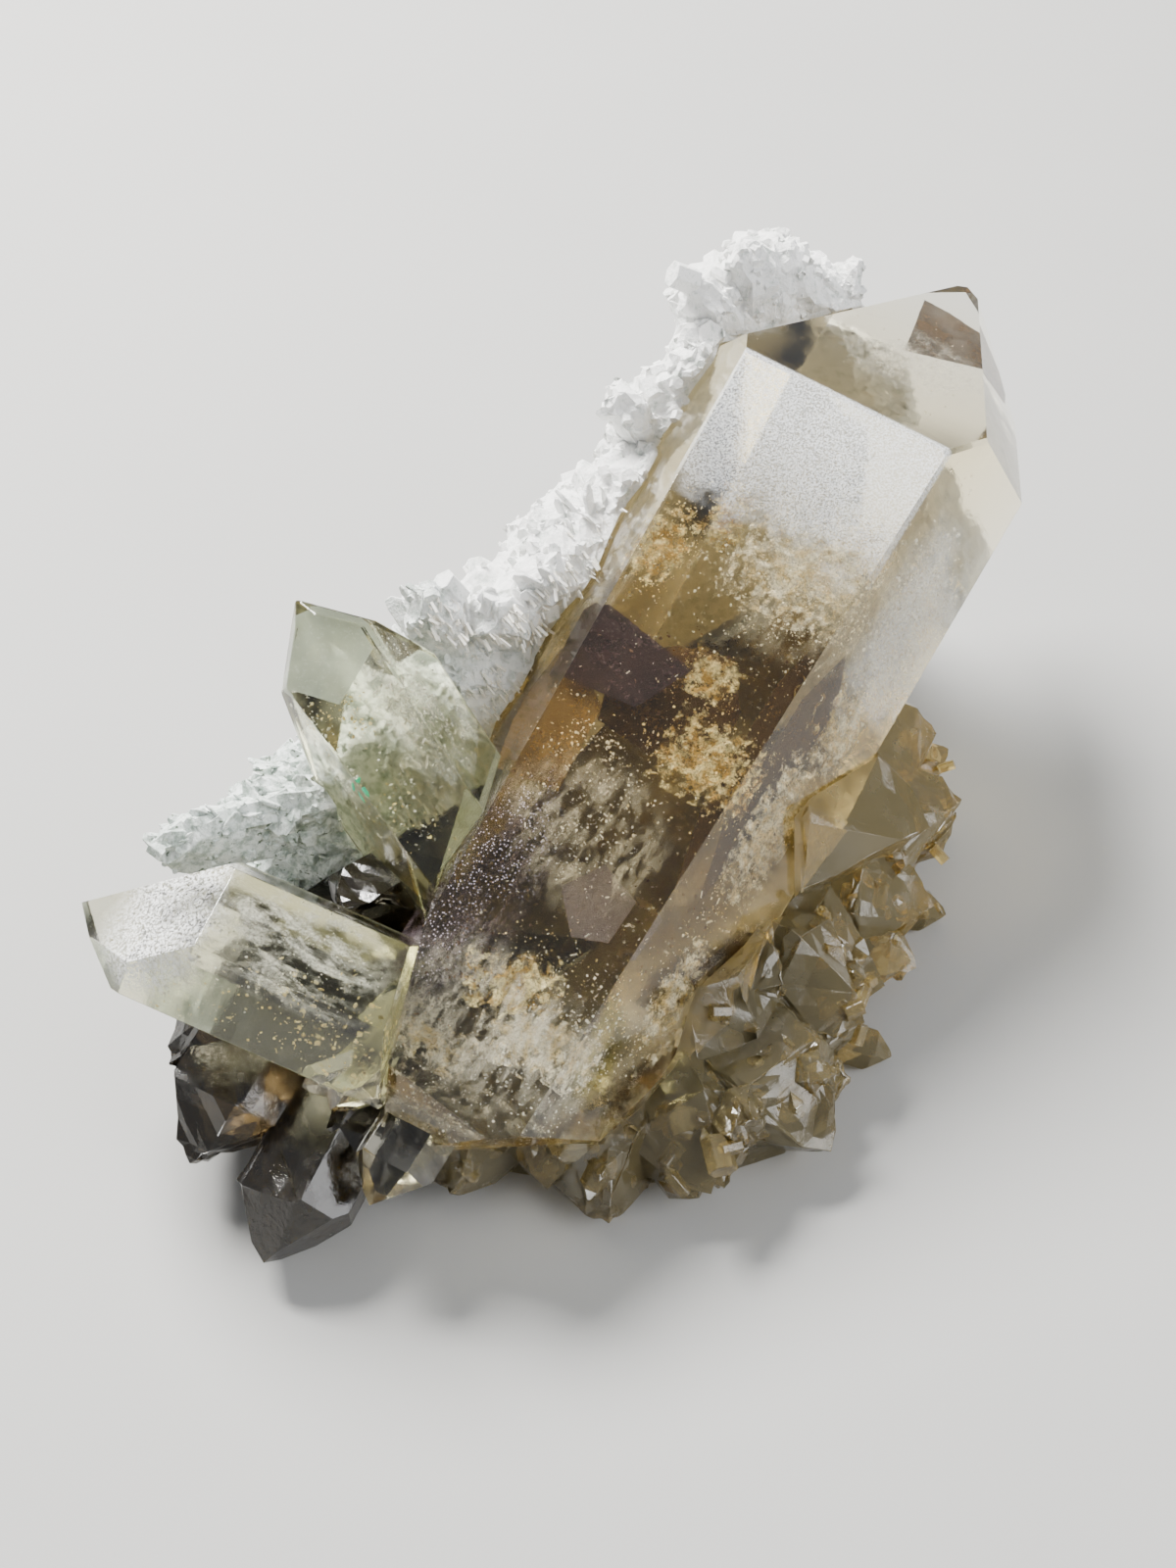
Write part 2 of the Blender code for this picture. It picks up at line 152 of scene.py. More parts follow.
class Finish:
    """A material, with its shader and what feeds it."""

    def __init__(self, name, **even):
        self.material = bpy.data.materials.new(name)
        self.material.use_nodes = True
        self.tree = self.material.node_tree
        self.shader = self.tree.nodes["Principled BSDF"]
        self.output = self.tree.nodes["Material Output"]
        for key, value in even.items():
            self.shader.inputs[socket_name(key)].default_value = value
        self.place = self.node("ShaderNodeTexCoord", {}, {}, "Object")

    def node(self, kind, settings, sockets, output=0):
        node = self.tree.nodes.new(kind)
        for key, value in settings.items():
            setattr(node, key, value)
        for key, value in sockets.items():
            if isinstance(value, Value):
                self.tree.links.new(value.socket, node.inputs[key])
            elif isinstance(value, tuple) and node.inputs[key].type == "RGBA":
                node.inputs[key].default_value = (*value, 1.0)
            else:
                node.inputs[key].default_value = value
        return Value(self, node.outputs[output])

    def feed(self, **sockets):
        for key, value in sockets.items():
            self.tree.links.new(value.socket, self.shader.inputs[socket_name(key)])

    def mix(self, share, first, second):
        """Goes from the first colour to the second while share goes from 0 to 1."""
        sockets = {0: share, 6: first, 7: second}
        return self.node("ShaderNodeMix", {"data_type": "RGBA"}, sockets, 2)

    def measure(self, operation, first, second):
        """A vector sum that ends in one number: a distance or a dot product."""
        return self.node("ShaderNodeVectorMath", {"operation": operation}, {0: first, 1: second}, 1)

    def along(self, direction, start=(0, 0, 0)):
        """Distance in millimetres from a start, counted in one direction."""
        moved = self.node("ShaderNodeVectorMath", {"operation": "SUBTRACT"}, {0: self.place, 1: tuple(start)})
        return self.measure("DOT_PRODUCT", moved, tuple(direction)) * (1 / MM)

    def from_point(self, point):
        """Distance in millimetres from a point."""
        return self.measure("DISTANCE", self.place, tuple(point)) * (1 / MM)

    def turned(self, matrix):
        """The place on the piece, turned and stretched."""
        parts = [self.measure("DOT_PRODUCT", self.place, tuple(row)) for row in matrix.to_3x3()]
        return self.node("ShaderNodeCombineXYZ", {}, dict(enumerate(parts)))

    def noise(self, per_mm, detail=3.0, roughness=0.55, place=None, distortion=0.0):
        """Uneven values with so many lumps in a millimetre, mostly between 0.3 and 0.7."""
        sockets = {
            "Vector": place or self.place, "Scale": per_mm / MM, "Detail": detail,
            "Roughness": roughness, "Distortion": distortion,
        }
        return self.node("ShaderNodeTexNoise", {}, sockets)

    def cells(self, per_mm):
        """Distance from the middle of the nearest of many cells, with so many in a millimetre."""
        return self.node("ShaderNodeTexVoronoi", {"feature": "F1"}, {"Vector": self.place, "Scale": per_mm / MM})

    def bump(self, height, distance, strength=1.0):
        sockets = {"Height": height, "Distance": distance * MM, "Strength": strength}
        self.feed(normal=self.node("ShaderNodeBump", {}, sockets))

    def from_sheet_middle(self):
        """On a sheet, 0 in its middle and 0.5 at the middle of each side."""
        spot = self.node("ShaderNodeTexCoord", {}, {}, "UV")
        return self.measure("DISTANCE", spot, (0.5, 0.5, 0))

    def frosted(self, share, **even):
        """Puts a second shader over the first where share is 1. What is fed later goes to it."""
        first = Value(self, self.shader.outputs[0])
        sockets = {socket_name(key): value for key, value in even.items()}
        second = self.node("ShaderNodeBsdfPrincipled", {}, sockets)
        both = self.node("ShaderNodeMixShader", {}, {0: share, 1: first, 2: second})
        self.tree.links.new(both.socket, self.output.inputs["Surface"])
        self.shader = second.socket.node

    def absorb(self, colour, per_metre):
        """Light is taken up evenly inside the piece."""
        volume = self.node("ShaderNodeVolumeAbsorption", {}, {"Color": colour, "Density": per_metre})
        self.tree.links.new(volume.socket, self.output.inputs["Volume"])


def growth_lines(finish, place, spacing):
    """Fine ledges across a crystal's long side, uneven in width."""
    stretch = Matrix.Diagonal((0.12, 1.0, 0.12)) @ place.to_3x3().transposed()
    return finish.noise(1 / spacing, 2.0, 0.6, finish.turned(stretch))


def smoky_quartz():
    finish = Finish("smoky quartz", transmission_weight=1.0, ior=QUARTZ_IOR)

    def in_main(direction):
        return finish.along(room_direction(MAIN_PLACE, direction), MAIN_PLACE.translation)

    along = in_main(ALONG)
    cloud = finish.noise(0.09, 3.0)
    wavy = along + (cloud - 0.5) * 34
    smoky = wavy.between(-34, -22) * wavy.between(16, 32, 1, 0)
    colour = finish.mix(smoky, (0.98, 0.98, 0.95), (0.94, 0.88, 0.72))
    amber_spot = MAIN_PLACE @ Vector((-8 * MM, -9 * MM, 8 * MM))
    amber = finish.from_point(amber_spot).between(5, 12, 0.6, 0)
    colour = finish.mix(amber, colour, (0.86, 0.70, 0.42))
    finish.feed(base_color=colour)
    fine = finish.noise(1.6, 3.0, 0.7)
    worn = finish.noise(0.22, 2.0)
    finish.feed(roughness=worn.between(0.45, 0.75, 0.02, 0.14) + fine.between(0.5, 0.8) * 0.05)
    lines = growth_lines(finish, MAIN_PLACE, 1.1)
    finish.bump(lines * 0.6 + fine * 0.4, 0.05, 0.5)
    finish.absorb((0.82, 0.72, 0.40), 38)

    # the front face is etched white near the tip, and pitted with a violet glitter near the foot
    on_front = in_main(HEIGHT).between(12.6, 13.0)
    ragged = along + (finish.noise(0.16, 3.0, 0.65) - 0.5) * 22
    grain = finish.noise(4.6, 2.0, 0.8)
    near_tip = ragged.between(14, 21)
    etched = near_tip * grain.between(0.36, 0.6, 0.25, 1) * (along + (cloud - 0.5) * 8).between(15, 33, 0.5, 1)
    left_part = (in_main(ACROSS) + (cloud - 0.5) * 16).between(-5, 0, 1, 0)
    foot_part = wavy.between(-42, -36) * wavy.between(-22, -16, 1, 0)
    glitter = finish.cells(3.2).between(0.14, 0.3, 1, 0) * left_part * foot_part

    # the right face is snowy beside it
    on_side = in_main(RIGHT_FACE).between(15.6, 16.0)
    outer = (in_main(DOWN_RIGHT_FACE) + (cloud - 0.5) * 10).between(-4, 3)
    snowy = outer * ragged.between(6, 12) * ragged.between(24, 32, 1, 0) * grain.between(0.36, 0.6, 0.3, 1)
    share = on_front * (etched * 0.85 + glitter * 0.5) + on_side * snowy * 0.4
    finish.frosted(share, roughness=0.4, ior=QUARTZ_IOR, transmission_weight=0.2)
    finish.feed(base_color=finish.mix(along.between(-6, 4), (0.78, 0.70, 0.80), (0.90, 0.93, 0.95)))
    finish.bump(grain, 0.12, 0.8)
    return finish.material


def pale_quartz(name, place, colour, inner, density, snow=None):
    """Clear pale quartz. Snow is where along the crystal a white etched tip starts and is full."""
    finish = Finish(name, transmission_weight=1.0, ior=QUARTZ_IOR)
    cloud = finish.noise(0.16, 4.0)
    finish.feed(base_color=finish.mix(cloud.between(0.42, 0.66), colour, inner))
    fine = finish.noise(1.8, 4.0, 0.7)
    worn = finish.noise(0.3, 3.0)
    finish.feed(roughness=worn.between(0.45, 0.75, 0.03, 0.16))
    lines = growth_lines(finish, place, 0.9)
    finish.bump(lines * 0.6 + fine * 0.4, 0.05, 0.5)
    finish.absorb((0.81, 0.79, 0.50), density)
    if snow:
        along = finish.along(room_direction(place, ALONG), place.translation)
        height = finish.along(room_direction(place, HEIGHT), place.translation)
        ragged = along + height * 0.5 + (cloud - 0.5) * 14
        grain = finish.noise(3.4, 3.0, 0.8)
        share = ragged.between(*snow) * height.between(-1, 3) * along.between(21, 25, 1, 0.3)
        share = share * grain.between(0.42, 0.56, 0.05, 0.95)
        finish.frosted(share, base_color=(0.95, 0.96, 0.95), roughness=0.3, ior=QUARTZ_IOR)
        finish.bump(grain, 0.2, 1.0)
    return finish.material


def crust_quartz():
    """Olive smoky quartz with painted shade that makes it nearly black at the left, and honey coloured at the right.
    """
    finish = Finish("smoky crust", transmission_weight=0.86, ior=QUARTZ_IOR)
    cloud = finish.noise(0.12, 3.0)
    right = finish.along((1, 0.2, 0.3)) + (cloud - 0.5) * 40
    olive = finish.mix(cloud.between(0.35, 0.65), (0.66, 0.55, 0.28), (0.46, 0.36, 0.16))
    # painted shade: the left of the crust is darkened almost to black in its colour, standing in for shadow
    painted_left_shade = (finish.along((-1, 0, 0)) + (cloud - 0.5) * 8).between(11, 17)
    olive = finish.mix(painted_left_shade, olive, (0.055, 0.042, 0.024))
    finish.feed(base_color=finish.mix(right.between(14, 36), olive, (0.84, 0.66, 0.28)))
    fine = finish.noise(1.4, 3.0, 0.7)
    worn = finish.noise(0.35, 3.0)
    finish.feed(roughness=worn.between(0.4, 0.7, 0.04, 0.3))
    finish.bump(fine, 0.08, 0.6)
    finish.absorb((0.72, 0.64, 0.44), 85)
    return finish.material


def pale_rock():
    """White rock that is greyer low down and turns grey-green at the left."""
    finish = Finish("pale rock", ior=QUARTZ_IOR)
    broad = finish.noise(0.07, 3.0, 0.6)
    fine = finish.noise(0.8, 4.0, 0.75)
    left = finish.along((-1, -0.3, 0)) + (broad - 0.5) * 50
    green = finish.mix(fine.between(0.36, 0.6), (0.38, 0.45, 0.40), (0.84, 0.89, 0.86))
    specks = finish.noise(1.2, 3.0, 0.6).between(0.62, 0.68)
    green = finish.mix(specks, green, (0.14, 0.18, 0.13))
    white = finish.mix(fine.between(0.34, 0.48), (0.66, 0.70, 0.66), (0.97, 0.97, 0.95))
    low = (finish.along((0, 0, 1)) + (broad - 0.5) * 30).between(8, 30, 0.7, 0)
    white = finish.mix(low, white, finish.mix(fine.between(0.4, 0.6), (0.42, 0.44, 0.40), (0.74, 0.74, 0.69)))
    finish.feed(base_color=finish.mix(left.between(2, 22), white, green))
    finish.feed(roughness=fine.between(0.3, 0.7, 0.45, 0.8))
    finish.bump(finish.noise(1.8, 4.0, 0.75), 0.35, 0.8)
    return finish.material


def inclusion(name, colour, other, roughness, metallic=0.0, ior=QUARTZ_IOR):
    """Small solid things inside the crystals."""
    finish = Finish(name, metallic=metallic, roughness=roughness, ior=ior)
    finish.feed(base_color=finish.mix(finish.noise(0.9, 2.0).between(0.35, 0.65), colour, other))
    return finish.material


def healed_plate(name, colour, other, solid):
    """A healed crack or a phantom face inside a crystal, finely speckled and half see-through."""
    finish = Finish(name, roughness=0.4, ior=PLATE_IOR)
    speckle = finish.noise(2.2, 3.0, 0.75)
    finish.feed(base_color=finish.mix(speckle.between(0.5, 0.78), colour, other))
    cloud = finish.noise(0.25, 2.0, 0.6)
    finish.feed(alpha=cloud.between(0.3, 0.7, solid * 0.75, solid))
    return finish.material


def crumpled_gleam(name, colour, other):
    """A crumpled inner break that gleams in grainy patches."""
    finish = Finish(name, roughness=0.35, metallic=0.2, ior=QUARTZ_IOR)
    rim = finish.from_sheet_middle()
    patches = finish.noise(0.9, 4.0, 0.65)
    grain = finish.noise(4.0, 2.0, 0.7)
    finish.feed(base_color=finish.mix(finish.noise(0.8, 2.0, 0.7).between(0.4, 0.6), colour, other))
    finish.feed(alpha=(patches - rim * 0.4).between(0.26, 0.46, 0, 0.95) * grain.between(0.38, 0.55, 0.4, 1))
    return finish.material


def milky_veil(name, place, colour, most):
    """A veil of tiny bubbles: streaked along the crystal, speckled, and gone at its rim."""
    finish = Finish(name, roughness=0.6, ior=QUARTZ_IOR)
    streaks = finish.turned(Matrix.Diagonal((1.0, 0.35, 1.0)) @ place.to_3x3().transposed())
    inside = finish.from_sheet_middle().between(0.22, 0.5, 1, 0)
    wisps = finish.noise(0.7, 4.0, 0.7, streaks, 0.3)
    speckle = finish.noise(2.6, 2.0, 0.8)
    darker = tuple(0.85 * part for part in colour)
    finish.feed(base_color=finish.mix(speckle, colour, darker))
    finish.feed(alpha=wisps.between(0.4, 0.7, 0, most) * speckle.between(0.35, 0.62, 0.35, 1) * inside)
    return finish.material


def floor_finish():
    finish = Finish("pale floor", roughness=0.7)
    finish.feed(base_color=finish.mix(finish.noise(0.02, 2.0), (0.38, 0.38, 0.37), (0.41, 0.41, 0.40)))
    return finish.material


# Making and changing pieces

def deselect():
    for thing in bpy.context.selected_objects:
        thing.select_set(False)


def pick(piece):
    deselect()
    piece.select_set(True)
    bpy.context.view_layer.objects.active = piece


def edit_all(piece):
    pick(piece)
    bpy.ops.object.mode_set(mode="EDIT")
    bpy.ops.mesh.select_all(action="SELECT")


def stop_editing():
    bpy.ops.object.mode_set(mode="OBJECT")


def use_modifier(piece, kind, **settings):
    """Adds a modifier and keeps its result."""
    pick(piece)
    modifier = piece.modifiers.new(kind.title(), kind)
    for key, value in settings.items():
        setattr(modifier, key, value)
    bpy.ops.object.modifier_apply(modifier=modifier.name)


def whole_copy(node, name):
    """A copy of a solid with its loose triangles joined into one skin with whole faces."""
    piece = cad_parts[node].copy()
    piece.data = piece.data.copy()
    piece.name = name
    bpy.context.scene.collection.objects.link(piece)
    piece.data.materials.clear()
    edit_all(piece)
    bpy.ops.mesh.remove_doubles(threshold=SAME_POINT)
    bpy.ops.mesh.dissolve_limited(angle_limit=FLAT_WITHIN)
    stop_editing()
    return piece


def finish_piece(piece, material, slot, *nodes):
    """Gives a piece its material and body, and hides the solids that it stands for. The slot is not used."""
    piece.data.materials.clear()
    piece.data.materials.append(material)
    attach(piece, BODY)
    if nodes:
        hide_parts(*nodes)


def soft_edges(piece, width):
    use_modifier(
        piece, "BEVEL", width=width * MM, segments=2, limit_method="ANGLE",
        angle_limit=math.radians(18), use_clamp_overlap=True,
    )


# Small shapes that are modelled once and strewn

def pick_faces(piece, wanted):
    """In edit mode, selects only the faces that are wanted."""
    bpy.ops.mesh.select_all(action="DESELECT")
    mesh = bmesh.from_edit_mesh(piece.data)
    for face in mesh.faces:
        face.select_set(wanted(face))
    mesh.select_flush_mode()
    bmesh.update_edit_mesh(piece.data)


def top_face(face):
    return face.normal.z > 0.99


def upper_face(face):
    return face.normal.z > 0.9


def keep_shape(piece):
    """Takes a small shape's mesh and drops its object."""
    mesh = piece.data
    bpy.data.objects.remove(piece, do_unlink=True)
    return mesh


def flake_shape():
    """A thin six-sided flake, one across and flat on the floor."""
    deselect()
    bpy.ops.mesh.primitive_cylinder_add(vertices=6, radius=0.5, depth=0.12)
    piece = bpy.context.object
    edit_all(piece)
    pick_faces(piece, top_face)
    bpy.ops.transform.resize(value=(0.8, 0.7, 1))
    stop_editing()
    return keep_shape(piece)


def hair_shape():
    """A thin bent hair, one long and standing up."""
    deselect()
    bpy.ops.mesh.primitive_cylinder_add(vertices=4, radius=0.03, depth=0.2, location=(0, 0, 0.1))
    piece = bpy.context.object
    edit_all(piece)
    for step in range(4):
        pick_faces(piece, upper_face)
        onward = (0.02 * step * step, 0.01 * step, 0.2)
        bpy.ops.mesh.extrude_region_move(TRANSFORM_OT_translate={"value": onward})
        bpy.ops.transform.resize(value=(0.8, 0.8, 1))
    stop_editing()
    return keep_shape(piece)


def blade_shape():
    """A flat blade with a slanted tip, one long, standing up from the floor."""
    deselect()
    bpy.ops.mesh.primitive_cube_add(size=1, location=(0, 0, 0.4), scale=(0.42, 0.1, 0.8))
    piece = bpy.context.object
    bpy.ops.object.transform_apply(location=True, rotation=True, scale=True)
    edit_all(piece)
    pick_faces(piece, top_face)
    bpy.ops.mesh.extrude_region_move(TRANSFORM_OT_translate={"value": (0.06, 0, 0.2)})
    bpy.ops.transform.resize(value=(0.45, 0.6, 1))
    stop_editing()
    use_modifier(piece, "BEVEL", width=0.02, segments=1, limit_method="ANGLE", angle_limit=0.5)
    return keep_shape(piece)


def crystal_shape(thickness, blunt):
    """A small six-sided crystal, about one long, standing up from the floor. The less blunt, the
    sharper and the longer its tip."""
    deselect()
    bpy.ops.mesh.primitive_cylinder_add(vertices=6, radius=thickness / 2, depth=0.7, location=(0, 0, 0.35))
    piece = bpy.context.object
    edit_all(piece)
    pick_faces(piece, top_face)
    tip = (0.02, 0.01, 0.3 * (1 - 0.5 * blunt))
    bpy.ops.mesh.extrude_region_move(TRANSFORM_OT_translate={"value": tip})
    bpy.ops.transform.resize(value=(blunt, blunt * 0.7, 1))
    stop_editing()
    use_modifier(piece, "BEVEL", width=0.015, segments=1, limit_method="ANGLE", angle_limit=0.4)
    return keep_shape(piece)


def strewn(name, shape, places):
    """One piece made of many copies of a small shape."""
    corners = [corner.co.copy() for corner in shape.vertices]
    faces = [tuple(face.vertices) for face in shape.polygons]
    points = []
    polygons = []
    for place in places:
        start = len(points)
        points.extend(place @ corner for corner in corners)
        polygons.extend(tuple(start + number for number in face) for face in faces)
    mesh = bpy.data.meshes.new(name)
    mesh.from_pydata(points, [], polygons)
    piece = bpy.data.objects.new(name, mesh)
    bpy.context.scene.collection.objects.link(piece)
    return piece


def flat_walls(node, smallest):
    """The large outer faces of a solid, each as a point and the way that it looks. Faces of a
    notch, which have more of the solid in front of them, are left out."""
    mesh = bmesh.new()
    mesh.from_mesh(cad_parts[node].data)
    bmesh.ops.remove_doubles(mesh, verts=mesh.verts[:], dist=SAME_POINT)
    bmesh.ops.dissolve_limit(mesh, angle_limit=FLAT_WITHIN, verts=mesh.verts[:], edges=mesh.edges[:])
    walls = []
    for face in mesh.faces:
        middle = face.calc_center_median()
        ahead = sum((corner.co - middle).dot(face.normal) > 0.3 * MM for corner in mesh.verts)
        if face.calc_area() > smallest * MM * MM and ahead < 0.35 * len(mesh.verts):
            walls.append((middle, face.normal.copy()))
    mesh.free()
    return walls


def well_inside(point, walls, margin):
    """Whether a point is at least so many millimetres behind all the walls."""
    return all((point - middle).dot(normal) < -margin * MM for middle, normal in walls)


def turned_towards(direction, chance, spread):
    """A turn that takes up to a direction, more or less, with any twist about it."""
    wander = Vector((chance.gauss(0, spread), chance.gauss(0, spread), chance.gauss(0, spread)))
    turn = (direction.normalized() + wander).normalized().to_track_quat("Z", "Y")
    return turn.to_matrix().to_4x4() @ Matrix.Rotation(chance.uniform(0, math.tau), 4, "Z")


def inner_places(place, walls, clouds, seed):
    """Places for flakes in clouds inside a crystal: each cloud has its middle, how far it spreads
    across, along and in height, how many flakes it has and between which sizes."""
    chance = random.Random(seed)
    places = []
    for middle, spread, count, small, large in clouds:
        for number in range(count):
            local = Vector([chance.gauss(start, reach) for start, reach in zip(middle, spread)])
            point = place @ (local * MM)
            clumped = noise.noise(point * 0.55 / MM) + 0.5 * noise.noise(point * 1.3 / MM)
            if clumped < chance.gauss(0.02, 0.12) or not well_inside(point, walls, 0.35 + large / 2):
                continue
            size = (small + (large - small) * chance.random() ** 3) * MM
            facing = Vector((chance.gauss(0, 1), chance.gauss(0, 1), chance.gauss(0, 1)))
            turn = turned_towards(facing, chance, 0.1)
            places.append(Matrix.Translation(point) @ turn @ Matrix.Scale(size, 4))
    return places


def inner_sheet(name, place, walls, middle, size, tilt, bend, seed, corners=0, crumple=0.09):
    """A thin sheet inside a crystal, cut off at its walls. Bend is how far it waves and crumple how
    often in a millimetre. One with corners has so many of them, and else it is a grid."""
    deselect()
    if corners:
        bpy.ops.mesh.primitive_circle_add(vertices=corners, radius=0.5, fill_type="NGON")
    else:
        bpy.ops.mesh.primitive_grid_add(x_subdivisions=22, y_subdivisions=22, size=1)
    piece = bpy.context.object
    piece.name = name
    spot = place @ Matrix.Translation(Vector(middle) * MM) @ turned_by(tilt)
    for corner in piece.data.vertices:
        flat = Vector((corner.co.x * size[0], corner.co.y * size[1], 0))
        wave = noise.noise(Vector((flat.x * crumple + seed, flat.y * crumple, seed * 0.7)))
        if corners:
            flat *= 1 + 0.5 * wave
        corner.co = spot @ ((flat + Vector((0, 0, wave * bend))) * MM)
    edit_all(piece)
    for point, normal in walls:
        bpy.ops.mesh.select_all(action="SELECT")
        bpy.ops.mesh.bisect(plane_co=point - normal * SHEET_INSET, plane_no=normal, clear_outer=True)
    stop_editing()
    use_modifier(piece, "SOLIDIFY", thickness=SHEET_THICKNESS)
    return piece


def joined(name, pieces):
    """Joins pieces into the first of them and names it."""
    deselect()
    for piece in pieces:
        piece.select_set(True)
    bpy.context.view_layer.objects.active = pieces[0]
    bpy.ops.object.join()
    pieces[0].name = name
    return pieces[0]


# The pieces

def main_crystal():
    piece = whole_copy("main_crystal", "smoky_main_crystal")
    soft_edges(piece, 0.22)
    finish_piece(piece, smoky_quartz(), "smoky_quartz", "main_crystal")


# what shows inside the main crystal: middle, spread, count, smallest and largest size
MAIN_CREAM = (
    ((5, 14, 10.8), (5, 4, 1.2), 6500, 0.08, 0.38),
    ((9, 19, 11), (3, 4, 1.2), 2000, 0.08, 0.35),
    ((2, 44, 0), (6, 6, 4), 700, 0.06, 0.30),
    ((-2, -12, 10), (4, 2.5, 1.2), 900, 0.08, 0.40),
    ((12, -9, 2), (1.5, 6, 2), 1200, 0.08, 0.32),
    ((11, 6, 1), (2, 4, 2), 700, 0.08, 0.32),
    ((0, 0, 4), (9, 24, 6), 800, 0.06, 0.25),
)
MAIN_GOLD = (
    ((-8, 11, 10.5), (1.3, 2.8, 0.6), 700, 0.08, 0.40),
    ((-4, 17, 9.5), (1.0, 2.6, 0.8), 300, 0.08, 0.35),
    ((7, -7, 9.5), (3.6, 3.2, 1.2), 1200, 0.06, 0.35),
    ((3, 1, 9), (3, 2, 1.5), 600, 0.06, 0.26),
    ((12, 5, 2), (1.6, 3, 1.6), 900, 0.06, 0.30),
    ((4, -33, 9), (4, 2.5, 1.6), 800, 0.06, 0.26),
    ((12, -25, 2), (1.5, 6, 2), 600, 0.06, 0.26),
)
MAIN_WHITE = (
    ((14, 18, 2), (1.6, 4.5, 3.0), 6000, 0.12, 0.55),
    ((7, -38, 9), (4.5, 5, 1.4), 1800, 0.06, 0.35),
    ((3, -46, 4), (6, 2.0, 3), 1500, 0.06, 0.35),
    ((0, -20, 9.5), (3.0, 3.0, 1.0), 700, 0.08, 0.35),
    ((11, -33, 2), (2, 6, 2), 700, 0.08, 0.40),
    ((-13, -4, 2), (1.5, 8, 3), 500, 0.08, 0.35),
)
MAIN_DARK = (
    ((-1, -1, 8), (5, 3, 2), 500, 0.10, 0.50),
    ((-4, -32, 11), (2.5, 6, 1), 900, 0.08, 0.35),
    ((10, -18, 4), (3, 8, 3), 400, 0.10, 0.45),
)
MAIN_HAIRS = (
    ((-6, 4, 10), (5, 5, 1.5), 180, 0.8, 2.6),
    ((0, -20, 10), (5, 5, 1.5), 160, 0.8, 3.0),
    ((6, -38, 9), (5, 4, 1.5), 260, 0.8, 3.5),
    ((2, -46, 3), (7, 2.5, 3), 320, 0.8, 3.5),
    ((11, -20, 3), (2, 10, 3), 120, 1.0, 4.0),
)

# crumpled breaks in it: middle, size and tilt
MAIN_GOLD_BREAKS = (
    ((-8, 11, 10.5), (5, 9, 0), (0, 0, 0)),
    ((-4, 17, 10), (4, 8, 0), (0, 0, 10)),
    ((7, -7, 10), (10, 9, 0), (0, 0, 0)),
    ((3, 1, 9.5), (6, 5, 0), (0, 0, 0)),
    ((2, -35.5, 10.5), (10, 6, 0), (0, 0, 20)),
    ((11.5, 6, 4), (4, 9, 0), (0, 60, 0)),
)
MAIN_CREAM_BREAKS = (
    ((5, 14, 11.5), (13, 10, 0), (0, 0, 0)),
    ((9, 20, 11), (7, 7, 0), (0, 0, 0)),
    ((7, -39.5, 10), (12, 7, 0), (-20, 0, 10)),
    ((-3, -44, 7), (10, 6, 0), (-30, 0, -10)),
    ((13, -8, 3), (8, 17, 0), (0, 60, 0)),
    ((12.5, -27, 2), (5, 12, 0), (0, 60, 0)),
    ((14.2, 19, 1.5), (11, 17, 0), (0, 60, 0)),
    ((14.0, 5, 1), (6, 10, 0), (0, 60, 0)),
)


# veils in it: middle, size, tilt and seed
MAIN_VEILS = (
    ((13, 18, 0), (20, 26, 0), (6, 62, 0), 1),
    ((6, 15, 9), (22, 20, 0), (6, 4, 0), 2),
    ((2, -40, 10.5), (26, 17, 0), (-4, 3, 0), 3),
    ((1, -46, 4), (26, 15, 0), (-52, 0, 0), 8),
    ((0, -19, 9.5), (20, 18, 0), (4, 0, 0), 4),
    ((-13, 4, 4), (16, 44, 0), (0, -58, 0), 5),
    ((2, 46, 2), (22, 18, 0), (-40, 0, 0), 7),
)

# plates in it: middle, size, tilt, seed and corners
MAIN_BROWN_PLATES = (
    ((10.5, -3, 5.5), (6, 34, 0), (0, 50, 0), 4, 6),
    ((4, 53, -9), (21, 21, 0), (-45, 5, 40), 6, 3),
    ((1, -2, 6), (16, 16, 0), (6, -4, 30), 2, 7),
)
MAIN_VIOLET_PLATES = (
    ((-9, -2.5, 9.5), (22, 10, 0), (-5, -6, 8), 3, 5),
)
MAIN_LILAC_PLATE = ((5, -25, 8), (9, 11, 0), (-6, 8, 20))
MAIN_VIOLET_HAZE = ((-7, -29, 10), (16, 30, 0), (0, -4, 0))
MAIN_AMBER_PLATE = ((-9, -10.5, 7.5), (9, 15, 0), (0, -10, 14))


def main_flakes(walls):
    cream = inclusion("cream flakes", (0.97, 0.94, 0.82), (0.93, 0.86, 0.66), 0.4)
    golden = inclusion("golden flakes", (0.99, 0.88, 0.52), (0.92, 0.72, 0.30), 0.3, 0.3)
    white = inclusion("white flakes", (0.95, 0.95, 0.92), (0.85, 0.84, 0.78), 0.4)
    dark = inclusion("dark flakes", (0.08, 0.05, 0.03), (0.17, 0.11, 0.07), 0.5, 0.0, PLATE_IOR)
    flake = flake_shape()
    for name, clouds, material, seed in (
        ("cream_flakes", MAIN_CREAM, cream, 1),
        ("golden_flakes", MAIN_GOLD, golden, 2),
        ("white_flakes", MAIN_WHITE, white, 3),
        ("dark_flakes", MAIN_DARK, dark, 4),
    ):
        piece = strewn(name, flake, inner_places(MAIN_PLACE, walls, clouds, seed))
        finish_piece(piece, material, "smoky_quartz")
    hairs = strewn("white_hairs", hair_shape(), inner_places(MAIN_PLACE, walls, MAIN_HAIRS, 5))
    finish_piece(hairs, inclusion("white hairs", (0.92, 0.90, 0.84), (0.8, 0.76, 0.66), 0.4), "smoky_quartz")


def main_veils(walls):
    veils = [
        inner_sheet("veil", MAIN_PLACE, walls, middle, size, tilt, 3.0, seed)
        for middle, size, tilt, seed in MAIN_VEILS
    ]
    milky = milky_veil("milky veils", MAIN_PLACE, (0.97, 0.93, 0.80), 0.6)
    finish_piece(joined("milky_veils", veils), milky, "smoky_quartz")


